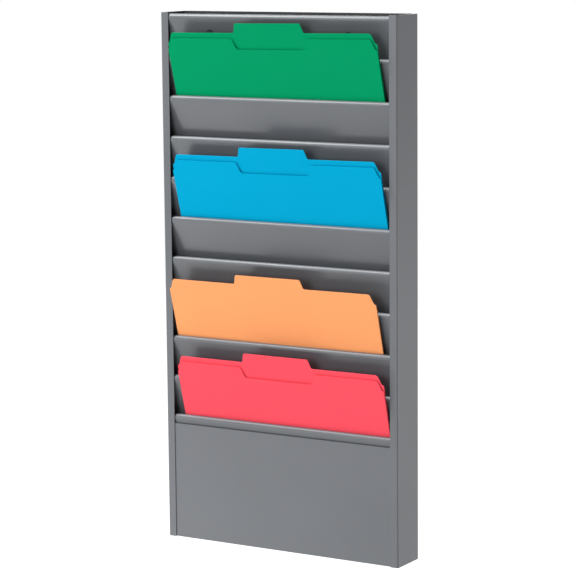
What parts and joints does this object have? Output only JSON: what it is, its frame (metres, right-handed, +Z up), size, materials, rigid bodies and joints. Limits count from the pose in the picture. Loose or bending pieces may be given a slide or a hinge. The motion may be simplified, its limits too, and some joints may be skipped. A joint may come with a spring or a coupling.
{
  "type": "medical chart rack",
  "caption": "Wall-hung grey steel chart rack: slanted pockets with rolled hems, a flat lower cover and coloured tab folders that lift out.",
  "frame": {"origin": "midway between the two keyholes, on the face that lies on the wall", "axes": "+X to the viewer's right, +Y into the wall, +Z up; the pockets face -Y"},
  "size_m": [0.3364, 0.0703, 0.673],
  "materials": {
    "grey_paint": "semi-gloss grey powder coat",
    "green_card": "matt dyed card",
    "blue_card": "matt dyed card",
    "orange_card": "matt dyed card",
    "red_card": "matt dyed card"
  },
  "bodies": {
    "rack": {"back_panel": "grey_paint", "left_side_panel": "grey_paint", "right_side_panel": "grey_paint", "header_divider": "grey_paint", "pocket_divider_01": "grey_paint", "pocket_divider_02": "grey_paint", "pocket_divider_03": "grey_paint", "pocket_divider_04": "grey_paint", "pocket_divider_05": "grey_paint", "pocket_divider_06": "grey_paint", "pocket_divider_07": "grey_paint", "pocket_divider_08": "grey_paint", "pocket_divider_09": "grey_paint", "pocket_divider_10": "grey_paint", "lower_front_cover": "grey_paint"},
    "folder_green": {"chart_folder_green": "green_card"},
    "folder_blue": {"chart_folder_blue": "blue_card"},
    "folder_orange": {"chart_folder_orange": "orange_card"},
    "folder_red": {"chart_folder_red": "red_card"}
  },
  "joints": [
    {"name": "lift_green_folder", "type": "slide", "parent": "rack", "child": "folder_green", "axis": [0, -0.2737, 0.9618], "range_m": [0, 0.16]},
    {"name": "lift_blue_folder", "type": "slide", "parent": "rack", "child": "folder_blue", "axis": [0, -0.2734, 0.9619], "range_m": [0, 0.16]},
    {"name": "lift_orange_folder", "type": "slide", "parent": "rack", "child": "folder_orange", "axis": [0, -0.2747, 0.9615], "range_m": [0, 0.16]},
    {"name": "lift_red_folder", "type": "slide", "parent": "rack", "child": "folder_red", "axis": [0, -0.2737, 0.9618], "range_m": [0, 0.16]}
  ]
}
